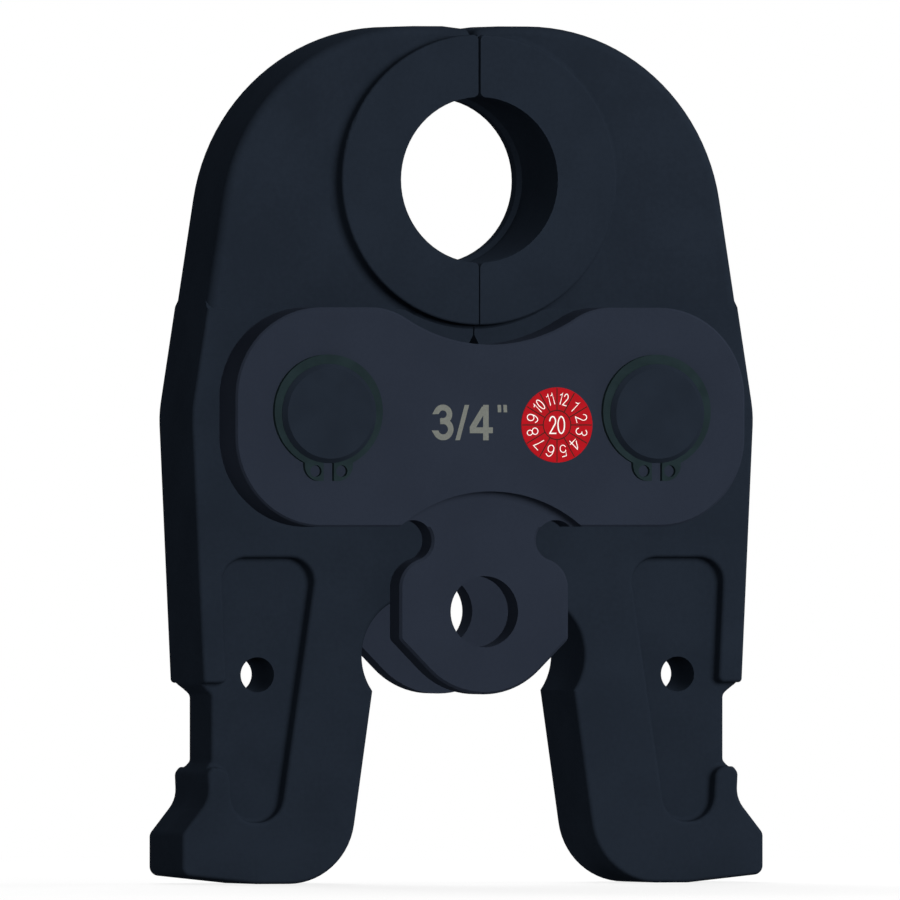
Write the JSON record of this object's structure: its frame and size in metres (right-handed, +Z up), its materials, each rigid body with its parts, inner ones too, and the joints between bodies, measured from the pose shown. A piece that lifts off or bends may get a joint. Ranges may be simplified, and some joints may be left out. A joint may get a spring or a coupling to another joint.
{
  "type": "press fitting tool jaw",
  "caption": "Press jaw with arms on pivot pins between side plates, closed by a spring, with a split round press bore, cam faces for the tool's rollers and a bore for the tool's bolt.",
  "frame": {"origin": "centre of the tool bolt's bore, halfway between the plates", "axes": "+X from the left arm to the right arm, +Y from the front plate to the rear plate, +Z up from the tails to the press bore"},
  "size_m": [0.1242, 0.048, 0.1732],
  "materials": {
    "arm_steel": "blackened forging, satin",
    "plate_steel": "blackened plate, satin",
    "pin_steel": "blackened, ground ends",
    "ring_steel": "phosphated spring steel",
    "spring_steel": "drawn spring wire",
    "sticker_film": "printed film"
  },
  "bodies": {
    "plates": {"front_plate": "plate_steel", "rear_plate": "plate_steel", "right_pivot_pin": "pin_steel", "left_pivot_pin": "pin_steel", "front_right_ring": "ring_steel", "front_left_ring": "ring_steel", "rear_right_ring": "ring_steel", "rear_left_ring": "ring_steel", "closing_spring": "spring_steel", "inspection_sticker": "sticker_film"},
    "right_arm": {"right_arm": "arm_steel"},
    "left_arm": {"left_arm": "arm_steel"}
  },
  "joints": [
    {"name": "right_arm_pivot", "type": "hinge", "parent": "plates", "child": "right_arm", "pos_m": [0.035, 0, 0.04], "axis": [0, 1, 0], "range_deg": [0, 15], "stiffness_Nm_per_rad": 1.1, "springref_deg": -25.78, "deforming": ["closing_spring"]},
    {"name": "left_arm_pivot", "type": "hinge", "parent": "plates", "child": "left_arm", "pos_m": [-0.035, 0, 0.04], "axis": [0, -1, 0], "range_deg": [0, 15], "stiffness_Nm_per_rad": 1.1, "springref_deg": -25.78, "deforming": ["closing_spring"]}
  ]
}
